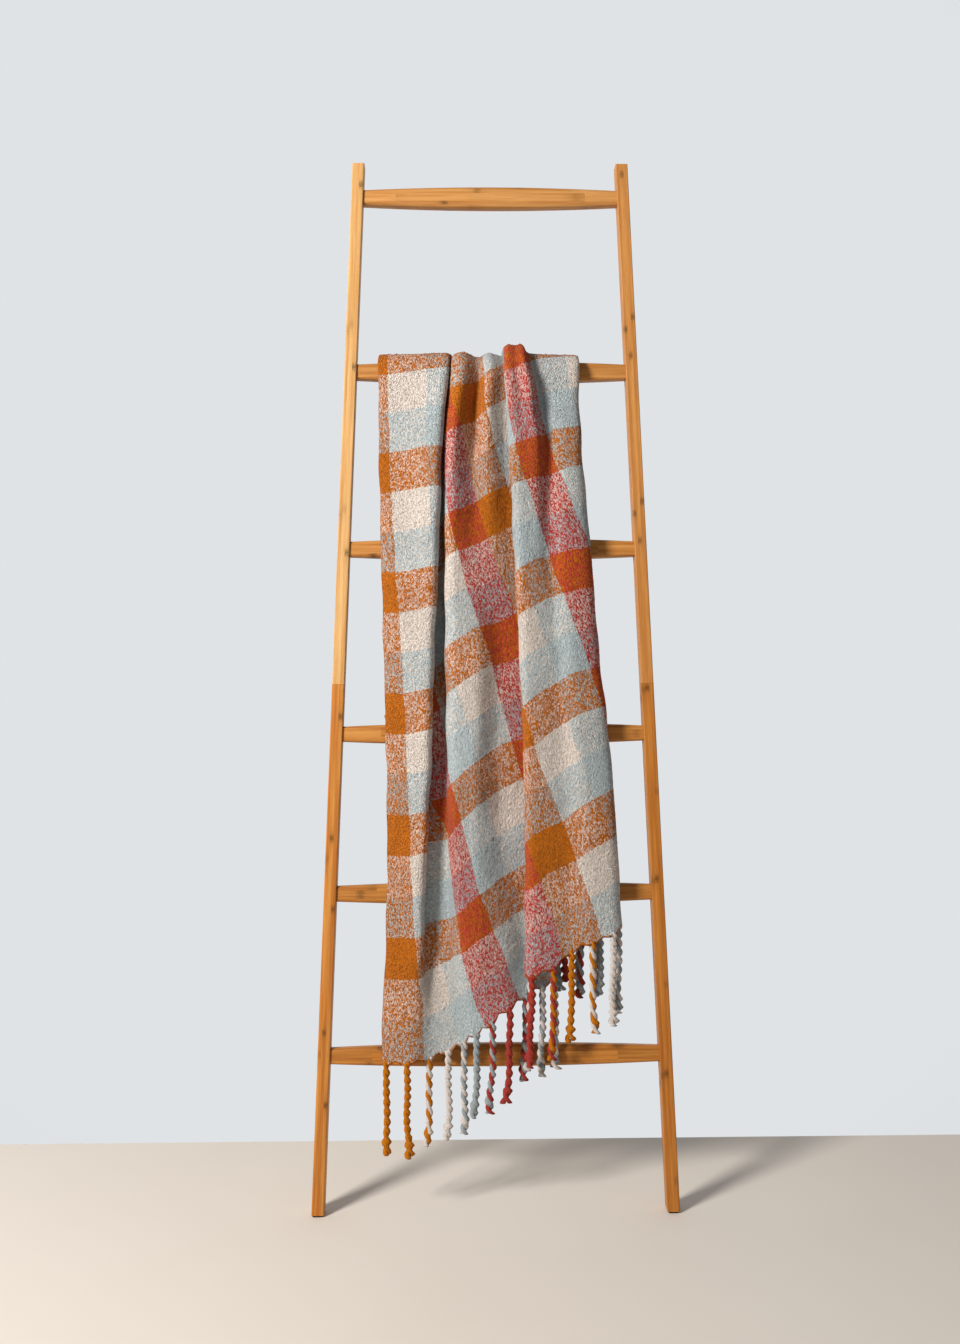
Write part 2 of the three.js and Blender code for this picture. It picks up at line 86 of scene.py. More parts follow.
# How the cloth lies across the ladder at some distances q below the rung's top, behind it where q is
# negative. Each row gives the same 31 points of the folded cross-section: (place u in the cloth, x across
# the ladder, distance out from the innermost layer). Its parts in order are the left panel from the
# selvedge to its lip, the pleat hidden behind it, the middle panel with its two ridges, the pleat under the
# right panel, the right panel with the roll along its left edge, and the rear layer to the far selvedge.
SECTIONS = {
    -760: [
        (0, -132, 16), (60, -188, 19), (75, -176, 20), (135, -122, 21), (185, -74, 19), (198, -66, 14),
        (280, -142, 11), (288, -144, 8), (372, -64, 8), (388, -56, 11),
        (400, -48, 17), (425, -26, 21), (460, 6, 20), (490, 32, 19), (530, 66, 14),
        (565, 98, 11), (572, 100, 14), (620, 58, 18),
        (636, 46, 22), (650, 54, 25), (672, 74, 24), (694, 94, 23), (716, 114, 22), (750, 136, 20),
        (790, 150, 18), (802, 154, 14), (812, 150, 10),
        (1140, -158, 6), (1150, -162, 5), (1160, -157, 3), (1300, -28, 3),
    ],
    -300: [
        (0, -140, 17), (52, -188, 20), (67, -177, 22), (125, -124, 24), (168, -84, 23), (182, -74, 17),
        (280, -160, 12), (288, -162, 8), (400, -72, 8), (415, -66, 12),
        (424, -62, 22), (440, -50, 25), (480, -16, 23), (510, 4, 24), (545, 30, 16),
        (588, 68, 11), (594, 70, 14), (630, 36, 20),
        (640, 28, 26), (652, 36, 29), (672, 54, 27), (690, 70, 27), (712, 90, 25), (740, 112, 24),
        (790, 144, 20), (802, 151, 15), (812, 147, 10),
        (1130, -160, 6), (1140, -165, 5), (1150, -160, 3), (1300, -24, 3),
    ],
    -70: [
        (0, -148, 17), (46, -188, 20), (61, -178, 22), (121, -119, 25), (166, -76, 25), (180, -66, 19),
        (303, -172, 13), (311, -174, 9), (437, -69, 8), (451, -65, 12),
        (459, -62, 22), (474, -47, 31), (506, -21, 12), (531, 0, 29), (560, 18, 16),
        (597, 56, 12), (603, 58, 15), (638, 27, 24),
        (648, 20, 30), (657, 25, 34), (672, 40, 31), (687, 52, 34), (712, 64, 27), (746, 95, 25),
        (801, 141, 23), (814, 148, 16), (824, 143, 10),
        (1138, -162, 6), (1148, -169, 5), (1157, -162, 3), (1300, -27, 3),
    ],
    0: [
        (0, -148, 17), (45, -189, 20), (60, -178, 24), (120, -118, 27), (165, -74, 31), (180, -64, 22),
        (310, -176, 13), (318, -178, 9), (448, -68, 8), (462, -65, 12),
        (470, -62, 26), (484, -46, 42), (514, -23, 2), (538, -4, 36), (564, 15, 16),
        (600, 52, 12), (606, 54, 16), (640, 24, 28),
        (650, 17, 60), (658, 22, 96), (672, 35, 84), (686, 47, 98), (712, 56, 34), (748, 90, 26),
        (805, 140, 24), (818, 147, 16), (828, 142, 10),
        (1140, -162, 6), (1150, -170, 5), (1160, -163, 3), (1300, -28, 3),
    ],
    50: [
        (0, -148, 17), (44, -188, 20), (59, -178, 24), (118, -120, 28), (163, -75, 34), (176, -65, 24),
        (306, -174, 13), (314, -176, 9), (444, -69, 8), (458, -67, 12),
        (467, -63, 26), (480, -48, 40), (508, -22, 3), (536, -4, 34), (564, 17, 16),
        (600, 52, 12), (606, 54, 16), (640, 25, 28),
        (650, 18, 42), (658, 23, 58), (672, 36, 38), (688, 50, 58), (716, 60, 26), (750, 92, 24),
        (800, 138, 23), (813, 146, 16), (823, 141, 10),
        (1140, -164, 6), (1150, -171, 5), (1160, -164, 3), (1300, -26, 3),
    ],
    111: [
        (0, -149, 17), (43, -188, 20), (58, -177, 24), (115, -122, 28), (160, -82, 35), (172, -73, 24),
        (296, -172, 13), (304, -174, 9), (436, -78, 8), (450, -74, 12),
        (459, -71, 26), (472, -56, 38), (502, -26, 6), (528, -8, 32), (560, 17, 14),
        (596, 54, 12), (602, 56, 15), (627, 28, 24),
        (643, 21, 32), (659, 27, 48), (676, 42, 40), (700, 64, 48), (722, 76, 20), (750, 100, 24),
        (788, 136, 22), (801, 144, 15), (811, 140, 10),
        (1135, -168, 6), (1145, -172, 5), (1155, -166, 3), (1300, -24, 3),
    ],
    193: [
        (0, -150, 17), (41, -188, 20), (56, -177, 24), (110, -128, 29), (153, -88, 37), (165, -80, 24),
        (272, -170, 13), (280, -172, 9), (388, -84, 8), (400, -81, 12),
        (408, -78, 26), (422, -66, 37), (476, -32, 13), (508, -10, 29), (540, 20, 13),
        (582, 66, 11), (588, 68, 14), (618, 32, 24),
        (632, 25, 33), (648, 31, 46), (672, 54, 42), (692, 74, 42), (712, 90, 23), (735, 112, 29),
        (762, 138, 24), (776, 148, 16), (786, 144, 10),
        (1130, -170, 6), (1140, -174, 5), (1150, -168, 3), (1300, -16, 3),
    ],
    358: [
        (0, -152, 17), (35, -184, 20), (50, -173, 24), (98, -130, 30), (137, -92, 39), (149, -84, 24),
        (240, -168, 13), (248, -170, 9), (340, -86, 9.5), (356, -76, 10),
        (366, -81, 24), (380, -69, 38), (428, -30, 24), (456, -4, 24), (494, 32, 10),
        (529, 76, 11), (536, 78, 14), (568, 40, 24),
        (584, 33, 32), (600, 40, 45), (620, 58, 40), (634, 70, 36), (654, 90, 25), (676, 112, 34),
        (706, 148, 25), (720, 161, 16), (730, 157, 8),
        (1080, -170, 6), (1090, -174, 5), (1100, -168, 3), (1300, 30, 3),
    ],
    521: [
        (0, -152, 17), (28, -179, 20), (43, -168, 24), (84, -132, 30), (120, -100, 39), (131, -92, 24),
        (206, -160, 12), (214, -162, 9), (290, -90, 9.5), (306, -72, 10),
        (320, -80, 24), (335, -67, 38), (376, -24, 36), (410, 9, 15), (440, 40, 10),
        (474, 82, 10), (481, 84, 13), (518, 46, 23),
        (533, 40, 31), (549, 46, 42), (568, 66, 38), (580, 78, 34), (602, 100, 27), (632, 124, 35),
        (662, 158, 26), (676, 171, 17), (686, 167, 8),
        (1040, -162, 6), (1050, -166, 5), (1060, -160, 3), (1300, 90, 3),
    ],
    683: [
        (0, -154, 17), (22, -175, 20), (37, -164, 24), (74, -134, 30), (108, -104, 38), (119, -97, 23),
        (176, -150, 12), (184, -152, 9), (240, -92, 9.5), (262, -70, 10),
        (276, -76, 23), (291, -66, 38), (328, -30, 38), (364, 3, 18), (405, 45, 10),
        (441, 90, 10), (448, 92, 13), (480, 52, 23),
        (495, 45, 30), (510, 51, 42), (530, 72, 39), (542, 84, 36), (566, 108, 29), (592, 134, 35),
        (634, 176, 26), (648, 189, 17), (658, 185, 8),
        (1000, -152, 6), (1010, -156, 5), (1020, -150, 3), (1300, 132, 3),
    ],
    842: [
        (0, -160, 18), (16, -174, 21), (30, -163, 25), (64, -134, 30), (92, -112, 36), (103, -106, 22),
        (136, -136, 12), (143, -138, 9), (170, -98, 9.5), (184, -70, 9),
        (192, -74, 22), (228, -62, 38), (282, -32, 39), (332, 13, 18), (360, 46, 10),
        (392, 84, 10), (399, 86, 13), (428, 54, 23),
        (442, 46, 30), (457, 53, 42), (478, 74, 40), (492, 90, 37), (514, 116, 30), (546, 146, 35),
        (582, 188, 26), (596, 200, 17), (606, 195, 8),
        (955, -150, 6), (965, -154, 5), (975, -148, 3), (1300, 180, 3),
    ],
    984: [
        (0, -170, 19), (9, -176, 22), (24, -163, 25), (56, -136, 29), (76, -118, 32), (86, -112, 18),
        (106, -126, 12), (113, -127, 9), (138, -98, 8), (164, -66, 9),
        (178, -68, 20), (200, -54, 35), (240, -22, 40), (280, 20, 25), (306, 46, 10),
        (344, 86, 10), (351, 88, 13), (380, 54, 23),
        (394, 46, 30), (409, 53, 42), (426, 70, 40), (446, 92, 37), (472, 118, 31), (500, 146, 35),
        (544, 194, 26), (558, 206, 17), (568, 201, 8),
        (925, -138, 6), (935, -142, 5), (945, -136, 3), (1300, 200, 3),
    ],
    1080: [
        (0, -178, 20), (4, -179, 22), (18, -166, 25), (44, -140, 27), (60, -122, 24), (68, -114, 17),
        (78, -106, 12), (84, -101, 10), (100, -90, 9), (130, -72, 13),
        (160, -60, 22), (180, -50, 29), (208, -26, 33), (240, 12, 30), (272, 46, 16),
        (328, 100, 10), (336, 102, 13), (373, 54, 23),
        (386, 44, 30), (400, 51, 42), (418, 70, 40), (440, 92, 37), (468, 120, 31), (498, 150, 35),
        (540, 196, 26), (554, 209, 17), (564, 204, 8),
        (925, -138, 6), (935, -142, 5), (945, -136, 3), (1300, 204, 3),
    ],
    1190: [
        (0, -179, 20), (3, -180, 22), (16, -166, 24), (42, -140, 26), (58, -123, 23), (65, -115, 18),
        (74, -106, 13), (80, -100, 11), (96, -84, 11), (122, -58, 16),
        (145, -34, 23), (165, -14, 28), (195, 22, 32), (232, 58, 27), (262, 84, 16),
        (328, 108, 10), (336, 110, 13), (373, 56, 23),
        (386, 44, 30), (400, 51, 42), (418, 70, 40), (440, 92, 37), (468, 120, 31), (498, 150, 35),
        (540, 196, 26), (554, 209, 17), (564, 204, 8),
        (925, -138, 6), (935, -142, 5), (945, -136, 3), (1300, 204, 3),
    ],
}
# How far the front hem hangs below the rung's top across the cloth, and the weft line that crosses the
# rung's top.
HEM_DROP = [
    (0, 1175), (33, 1175), (66, 1173), (99, 1163), (132, 1149), (165, 1133), (198, 1119), (231, 1096),
    (300, 1062), (390, 1040), (417, 1036), (443, 1025), (474, 1002), (498, 991), (524, 983), (556, 967),
    (620, 940), (680, 915), (760, 900), (1300, 930),
]
WEFT_OVER_RUNG = [
    (0, -2), (66, 0), (173, 14), (290, 38), (350, 62), (410, 80), (482, 103), (552, 137), (617, 170),
    (680, 196), (735, 221), (815, 235), (1300, 150),
]
# How much lower the weft lines hang halfway down than evenly spaced ones would.
SAG = [
    (0, 0), (132, 10), (227, 36), (290, 26), (330, 14), (380, 0), (520, -2), (560, -10), (617, -12),
    (700, 0), (1300, 0),
]
LOFT = 1.4  # how loosely the folds stand out
LEAST_OUT = 2.6  # the innermost layer's centre stays this far out from its arc
SQUEEZE, SQUEEZE_REACH = 0.8, 62.0  # the layers lie pressed together over the rung
LOOSE_OUT = 18.0  # layers this far out sway fully, and the inner ones less
BACK_SHRINK = 0.97  # the back hangs a little shorter, from its ripples
BLEND_DOWN, BLEND_ACROSS = 26.0, 6.0  # how far the cross-sections' corners are rounded
GATHER, GATHER_REACH = 7.0, 14.0  # how deep the tassels scallop the hem, and how far in from it
SWAY, RIPPLE, DRIFT = 2.0, 0.7, 1.2  # sizes of the soft waves out of the cloth and across it
STEP_U, STEP_Q = 2.5, 10.0  # spacing of the grids that the folds are worked out on
FIRST_Q, LAST_Q = -800, 1220  # the grids' ends, beyond both hems


def smooth(values, sigma, axis):
    """values blurred along one axis by a Gaussian of that many cells, with the ends carried straight on."""
    reach = int(3 * sigma) + 1
    kernel = np.exp(-0.5 * (np.arange(-reach, reach + 1) / sigma) ** 2)
    kernel /= kernel.sum()
    values = np.moveaxis(values, axis, -1)
    first, last = values[..., :1], values[..., -1:]
    low = 2 * first - values[..., reach:0:-1]
    high = 2 * last - values[..., -2 : -reach - 2 : -1]
    padded = np.concatenate([low, values, high], axis=-1)
    out = np.apply_along_axis(lambda row: np.convolve(row, kernel, "valid"), -1, padded)
    return np.moveaxis(out, -1, axis)


def waves(x, y, lengths, seed):
    """A soft, repeatable ripple of the given wavelengths, about -1 to 1."""
    dice = np.random.default_rng(seed)
    total = 0
    for length in lengths:
        for _ in range(3):
            turn, shift = dice.uniform(0, math.pi), dice.uniform(0, 2 * math.pi)
            total = total + np.sin(2 * math.pi * (x * math.cos(turn) + y * math.sin(turn)) / length + shift)
    return total / (2 * len(lengths))


def table(rows, at):
    """Reads a table of (place, value) rows by straight lines between them."""
    keys, values = zip(*rows)
    return np.interp(at, keys, values)


def section_grids(u, q):
    """x and the distance out from the innermost layer, for every q (rows) and u (columns)."""
    keys = sorted(SECTIONS)
    points = np.array([SECTIONS[k] for k in keys], float)
    lines = np.array([[np.interp(q, keys, row) for row in point] for point in points.transpose(1, 2, 0)])
    lines = smooth(lines, BLEND_DOWN / STEP_Q, 2)
    across = np.array([np.interp(u, lines[:, 0, i], lines[:, 1, i]) for i in range(len(q))])
    out = np.array([np.interp(u, lines[:, 0, i], lines[:, 2, i]) for i in range(len(q))])
    return tuple(smooth(grid, BLEND_ACROSS / STEP_U, 1) for grid in (across, out))


def sample(grid, u, q, at_u, at_q):
    """Reads a grid at scattered places by straight lines between its cells."""
    i = np.clip((at_q - q[0]) / (q[1] - q[0]), 0, len(q) - 1.001)
    j = np.clip((at_u - u[0]) / (u[1] - u[0]), 0, len(u) - 1.001)
    i0, j0 = i.astype(int), j.astype(int)
    a, b = i - i0, j - j0
    low = grid[i0, j0] * (1 - b) + grid[i0, j0 + 1] * b
    high = grid[i0 + 1, j0] * (1 - b) + grid[i0 + 1, j0 + 1] * b
    return low * (1 - a) + high * a


def over_the_rung(q, out):
    """Depth and height in the ladder's frame, q down the drape and out from the innermost layer."""
    turn = np.clip((ARC_HALF - q) / (2 * ARC_HALF), 0, 1) * BACK_TURN
    radius = ARC_R + out
    y = RUNG_Y - radius * np.cos(turn)
    z = RUNG_Z + ARC_RISE + radius * np.sin(turn)
    front, back = np.maximum(q - ARC_HALF, 0), np.maximum(-q - ARC_HALF, 0)
    return y + back * math.sin(LEAN), z - front - back * math.cos(LEAN)


def to_row(points):
    """Points in millimetres in the ladder's frame as metres in the row frame."""
    m = np.array(TO_ROW)
    return points / 1000 @ m[:3, :3].T + m[:3, 3]


class Drape:
    """Where each place (u, v) of the cloth lies."""

    def __init__(self):
        self.u = np.arange(0, WIDTH + STEP_U / 2, STEP_U)
        self.q = np.arange(FIRST_Q, LAST_Q + STEP_Q / 2, STEP_Q)
        self.x, self.out = section_grids(self.u, self.q)

    def down(self, u, v):
        """How far below the rung's top a place hangs."""
        over = table(WEFT_OVER_RUNG, u)
        share = np.clip((v - over) / (FRONT - over), 0, 1)
        front = (v - over) / (FRONT - over) * table(HEM_DROP, u)
        front = front + table(SAG, u) * 4 * share * (1 - share)
        return np.where(v > over, front, (v - over) * BACK_SHRINK)

    def place(self, u, v, lift=0.0):
        """Where a place of the cloth lies in the row frame, lifted off the drape by lift."""
        q = self.down(u, v)
        from_hem = np.maximum(np.minimum(FRONT - v, v + BACK), 0)
        scallop = np.abs(np.cos(math.pi * (u - TASSEL_PITCH / 4) / TASSEL_PITCH)) - 0.5
        q = q + np.sign(q) * GATHER * np.exp(-from_hem / GATHER_REACH) * scallop
        x = sample(self.x, self.u, self.q, u, q)
        out = sample(self.out, self.u, self.q, u, q)
        out = LOFT * out * (1 - SQUEEZE * np.exp(-((q / SQUEEZE_REACH) ** 2)))
        sway = SWAY * waves(x, q, (260, 140), 3) + RIPPLE * waves(x, q, (60,), 4)
        out = np.maximum(out + sway * np.clip(out / LOOSE_OUT, 0.1, 1), LEAST_OUT) + lift
        y, z = over_the_rung(q, out)
        return to_row(np.stack([x + DRIFT * waves(u, v, (90,), 5), y, z], axis=-1))


def grid_mesh(name, points):
    """A mesh of quads over a grid of points, rows by columns."""
    rows, columns = points.shape[:2]
    index = np.arange(rows * columns).reshape(rows, columns)
    left, right = index[:, :-1], index[:, 1:]
    quads = np.stack([left[:-1], right[:-1], right[1:], left[1:]], axis=-1).reshape(-1, 4)
    mesh = bpy.data.meshes.new(name)
    mesh.from_pydata(points.reshape(-1, 3).tolist(), [], quads.tolist())
    mesh.shade_smooth()
    return mesh


def add_object(mesh, body):
    """An object made of the mesh, which rides on the named body."""
    obj = bpy.data.objects.new(mesh.name, mesh)
    bpy.context.scene.collection.objects.link(obj)
    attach(obj, body)
    return obj


def put_vectors(mesh, name, values):
    """Stores one vector for each vertex under that name."""
    layer = mesh.attributes.new(name, "FLOAT_VECTOR", "POINT")
    layer.data.foreach_set("vector", np.asarray(values, np.float32).ravel())


def build_throw(drape):
    """The cloth as one sheet of even cells, row by row from the front hem over the rung to the back hem."""
    columns, rows = int(WIDTH / CELL) + 1, int((FRONT + BACK) / CELL) + 1
    u, v = np.meshgrid(np.linspace(0, WIDTH, columns), np.linspace(FRONT, -BACK, rows))
    nap = NAP * np.abs(np.random.default_rng(7).standard_normal(u.shape))
    mesh = grid_mesh("throw_cloth", drape.place(u, v, nap))
    put_vectors(mesh, "weave", np.stack([u / 1000, v / 1000, np.zeros_like(u)], axis=-1))
    throw = add_object(mesh, "throw")
    thickness = throw.modifiers.new("thickness", "SOLIDIFY")
    thickness.thickness = THICK / 1000
    thickness.offset = 0
    mesh.materials.append(plaid_material())
    return throw


# ---------- the tassels ----------

PALETTE = {
    "orange": (202, 119, 16),
    "cream": (230, 219, 210),
    "blue": (195, 204, 206),
    "red": (202, 74, 62),
}
YARN_SHADE = {"orange": 0.85, "cream": 0.82, "blue": 0.58, "red": 0.6}
WARP = ("orange", "cream", "blue", "red", "blue", "cream", "red")
WEFT = ("orange", "cream", "blue")


def warp_colour(u):
    """The colour of the warp stripe at u."""
    return WARP[int(max(u, 0) // CHECK) % len(WARP)]


def strand(centre, phase, pitch, flare):
    """Rings of one twisted strand round a line of points that runs down to its knot and its loose end."""
    length = np.concatenate([[0], np.cumsum(np.linalg.norm(np.diff(centre, axis=0), axis=1))])
    share = length / length[-1]
    turn = phase + 2 * math.pi * length / pitch
    spread = COIL * (1 + 14 * flare * np.maximum(share - LOOSE_FROM, 0))
    middle = centre + np.stack([spread * np.cos(turn), spread * np.sin(turn), 0 * turn], axis=-1)
    lumps = 1 + 0.05 * np.sin(length * 0.9 + phase * 2) + 0.1 * np.sin(length * 0.27 + phase)
    knot = 1 + 0.75 * np.exp(-(((share - KNOT_AT) / KNOT_SIZE) ** 2))
    end = np.where(share > LOOSE_FROM, 1 + flare * (share - LOOSE_FROM) * 4, 1)
    neck = np.clip(share / 0.1 + 0.6, 0, 1)
    thick = STRAND * lumps * knot * end * neck
    around = np.linspace(0, 2 * math.pi, STRAND_SIDES, endpoint=False)
    ring = np.stack([np.cos(around), np.sin(around), np.zeros(STRAND_SIDES)], axis=-1)
    return middle[:, None, :] + thick[:, None, None] * ring[None]


def tassel_line(drape, u, v, dice):
    """A line of points that hangs plumb from the hem with a slight sway, or leans on the ladder.

    At the right edge it would otherwise enter the rail when the throw slides, and low down the lowest rung.
    """
    top = drape.place(np.array([u]), np.array([v]))[0] * 1000
    drop = np.linspace(-TUCK, TASSEL_LENGTH * dice.uniform(0.93, 1.06), TASSEL_RINGS)
    bend = dice.uniform(-5, 5, 2)
    wave, shift = dice.uniform(1.2, 3.0), dice.uniform(0, ROUND)
    share = np.clip(drop / TASSEL_LENGTH, 0, 1)
    x = bend[0] * share**2 + wave * share * np.sin(drop / 17 + shift)
    y = 0.5 * bend[1] * share**2 + 0.5 * wave * share * np.cos(drop / 21 + shift)
    line = top + np.stack([x, y, -drop], axis=-1)
    face = 1000 * LADDER_Y + line[:, 2] * math.tan(LEAN)
    if v > 0 and top[0] > SIDE_X:
        line[:, 1] = np.minimum(line[:, 1], face - BEFORE_RAIL)
    elif v > 0 and line[-1, 2] < LOW_REACH:
        line[:, 1] = np.minimum(line[:, 1], face - BEFORE_RUNG)
    return line


def tube_faces(start, count):
    """Faces of a closed tube of count rings, whose first vertex has the number start."""
    index = start + np.arange(count * STRAND_SIDES).reshape(count, STRAND_SIDES)
    right = np.roll(index, -1, axis=1)
    walls = np.stack([index[:-1], index[1:], right[1:], right[:-1]], axis=-1).reshape(-1, 4)
    return walls.tolist() + [index[0].tolist(), index[-1][::-1].tolist()]


def build_tassel(name, drape, u, v, material, dice):
    """Two strands twisted round each other, each in the colour of the warp that it is drawn from."""
    line = tassel_line(drape, u, v, dice)
    pitch = dice.uniform(25, 32)
    phase = dice.uniform(0, ROUND)
    flare = dice.uniform(0.2, 1.2)
    vertices, faces, colours = [], [], []
    for side in (0, 1):
        rings = strand(line, phase + side * math.pi, pitch, flare).reshape(-1, 3)
        yarn = warp_colour(u + (side - 0.5) * STRAND_APART)
        tint = np.array([linear(c) for c in PALETTE[yarn]]) * YARN_SHADE[yarn]
        faces += tube_faces(side * len(rings), len(line))
        vertices.append(rings)
        colours.append(np.repeat(tint[None], len(rings), axis=0))
    mesh = bpy.data.meshes.new(name)
    mesh.from_pydata((np.concatenate(vertices) / 1000).tolist(), [], faces)
    mesh.shade_smooth()
    mesh.materials.append(material)
    put_vectors(mesh, "yarn", np.concatenate(colours))
    tassel = add_object(mesh, "throw")
    return tassel


def build_tassels(drape):
    """A row of tassels along both hems. The first ones of each row stand for the CAD model's own."""
    material = yarn_material()
    dice = np.random.default_rng(21)
    made = []
    for end, v in (("front", FRONT), ("back", -BACK)):
        for number, u in enumerate(np.arange(TASSEL_PITCH / 4, WIDTH, TASSEL_PITCH), 1):
            tassel = build_tassel(f"twisted_tassel_{end}_{number:02d}", drape, u, v, material, dice)
            if number <= CAD_TASSELS[end]:
                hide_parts(f"tassel_{end}_{number:02d}")
            made.append(tassel)
    return made


# ---------- materials ----------

FLECKS_PER_METRE, FLECK_SLANT, FLECK_SQUASH = 590.0, math.radians(35), 0.6
STRIP = 0.0067  # width of one strip of laminated bamboo
STRIP_EDGES = (0.5, 0.5033)  # where the strips' edges are counted from, across and front to back
CANE_NODE = 0.31  # distance between the nodes of a cane


def linear(value):
    """One sRGB channel, 0 to 255, as linear light."""
    c = value / 255
    return c / 12.92 if c <= 0.04045 else ((c + 0.055) / 1.055) ** 2.4


def colour(rgb):
    return tuple(linear(c) for c in rgb) + (1.0,)


class Nodes:
    """A small helper to write a node tree as a list of calls."""

    def __init__(self, name):
        self.material = bpy.data.materials.new(name)
        self.material.use_nodes = True
        self.tree = self.material.node_tree
        self.shader = self.tree.nodes["Principled BSDF"]

    def set(self, **sockets):
        for key, value in sockets.items():
            self.link(value, self.shader.inputs[key.replace("_", " ")])

    def link(self, value, socket):
        if isinstance(value, bpy.types.NodeSocket):
            self.tree.links.new(value, socket)
        else:
            socket.default_value = value

    def add(self, kind, *values, **options):
        node = self.tree.nodes.new("ShaderNode" + kind)
        for key, value in options.items():
            setattr(node, key, value)
        for socket, value in zip(node.inputs, values):
            if value is not None:
                self.link(value, socket)
        return node

    def math(self, operation, *values):
        return self.add("Math", *values, operation=operation).outputs[0]

    def noise(self, vector, scale, detail=2.0, roughness=0.5):
        node = self.add("TexNoise")
        self.link(vector, node.inputs["Vector"])
        self.link(scale, node.inputs["Scale"])
        self.link(detail, node.inputs["Detail"])
        self.link(roughness, node.inputs["Roughness"])
        return node.outputs["Fac"]

    def mapped(self, value, low, high, to_low=0.0, to_high=1.0):
        return self.add("MapRange", value, low, high, to_low, to_high).outputs[0]

    def mix(self, factor, a, b, blend="MIX"):
        node = self.tree.nodes.new("ShaderNodeMix")
        node.data_type = "RGBA"
        node.blend_type = blend
        self.link(factor, node.inputs["Factor"])
        self.link(a, node.inputs["A"])
        self.link(b, node.inputs["B"])
        return next(s for s in node.outputs if s.type == "RGBA")

    def bands(self, value, names, total):
        """The colour of the stripe at value, from 0 to 1, with total stripes in all."""
        ramp = self.add("ValToRGB", value).color_ramp
        node = self.tree.nodes[-1]
        ramp.interpolation = "CONSTANT"
        for i in range(total):
            element = ramp.elements[i] if i < 2 else ramp.elements.new(i / total)
            element.position = i / total
            element.color = colour(PALETTE[names[i % len(names)]])
        return node.outputs["Color"]

    def bump(self, height, strength, distance, under=None):
        node = self.tree.nodes.new("ShaderNodeBump")
        node.inputs["Strength"].default_value = strength
        node.inputs["Distance"].default_value = distance
        self.link(height, node.inputs["Height"])
        if under is not None:
            self.link(under, node.inputs["Normal"])
        return node.outputs["Normal"]


def plaid_material():
    """Brushed plaid: where warp and weft stripes cross, the surface is a speckle of both yarns' colours."""
    n = Nodes("brushed_plaid")
    place = n.add("Attribute", attribute_name="weave").outputs["Vector"]
    wobble = n.mapped(n.noise(place, 260.0, 3.0), 0.0, 1.0, -0.0035, 0.0035)
    parts = n.add("SeparateXYZ", place).outputs
    across = n.math("ADD", parts[0], wobble)
    down = n.math("ADD", parts[1], wobble)
    warp_count = round(WIDTH / CHECK)
    warp = n.bands(n.math("DIVIDE", across, CHECK / 1000 * warp_count), WARP, warp_count)
    down = n.math("ADD", down, (10 * REPEAT - REPEAT_START) / 1000)
    weft = n.bands(n.math("FRACT", n.math("DIVIDE", down, REPEAT / 1000)), WEFT, len(WEFT))
    # Each yarn shows as short diagonal flecks, in finer and coarser clumps.
    slant = n.add("Mapping", place, (0, 0, 0), (0, 0, FLECK_SLANT), (1.0, FLECK_SQUASH, 1.0)).outputs[0]
    fleck = n.add("TexVoronoi", slant, None, FLECKS_PER_METRE).outputs
    chance = n.add("SeparateXYZ", fleck["Color"]).outputs
    clump = n.mapped(n.noise(place, 300.0, 4.0, 0.75), 0.3, 0.7, -0.15, 0.15)
    both = n.mix(n.mapped(n.math("ADD", chance[0], clump), 0.35, 0.6), warp, weft)
    # The stronger of the two colours covers more of the surface, and tinges the rest of it.
    strong = n.mix(1.0, warp, weft, "DARKEN")
    cover = n.mapped(n.math("ADD", chance[1], clump), 0.45, 0.65, 0.0, 0.36)
    both = n.mix(cover, both, strong)
    glow = n.mix(1.0, strong, (1.5, 1.5, 1.5, 1.0), "MULTIPLY")
    both = n.mix(0.25, both, n.mix(1.0, both, glow, "MULTIPLY"))
    # Painted shade: the nubby loops' light and shade is painted into the colour as a fine light and dark
    # mottle, and each fleck adds its own real tone to it.
    painted_nub_shade = n.mapped(n.noise(place, 250.0, 4.0, 0.7), 0.34, 0.66, 0.74, 1.26)
    shade = n.math("ADD", painted_nub_shade, n.mapped(chance[2], 0.0, 1.0, -0.1, 0.14))
    tone = n.mapped(n.noise(place, 14.0, 2.0), 0.3, 0.7, 0.92, 1.05)
    n.set(
        Base_Color=n.mix(1.0, both, n.math("MULTIPLY", shade, tone), "MULTIPLY"),
        Roughness=0.95,
        Sheen_Weight=0.08,
        Sheen_Roughness=0.6,
        Specular_IOR_Level=0.05,
    )
    loops = n.noise(place, 300.0, 3.0, 0.6)
    loops = n.math("SUBTRACT", loops, n.math("MULTIPLY", fleck["Distance"], 0.5))
    hairs = n.noise(place, 1100.0, 2.0, 0.6)
    n.set(Normal=n.bump(hairs, 0.6, 0.0015, n.bump(loops, 1.0, 0.006)))
    return n.material


def yarn_material():
    n = Nodes("twisted_yarn")
    tint = n.add("Attribute", attribute_name="yarn").outputs["Color"]
    where = n.add("TexCoord").outputs["Object"]
    shade = n.mapped(n.noise(where, 500.0, 3.0, 0.6), 0.3, 0.7, 0.75, 1.15)
    n.set(
        Base_Color=n.mix(1.0, tint, shade, "MULTIPLY"),
        Roughness=0.95,
        Sheen_Weight=0.06,
        Specular_IOR_Level=0.05,
        Normal=n.bump(n.noise(where, 700.0, 3.0, 0.6), 0.8, 0.002),
    )
    return n.material


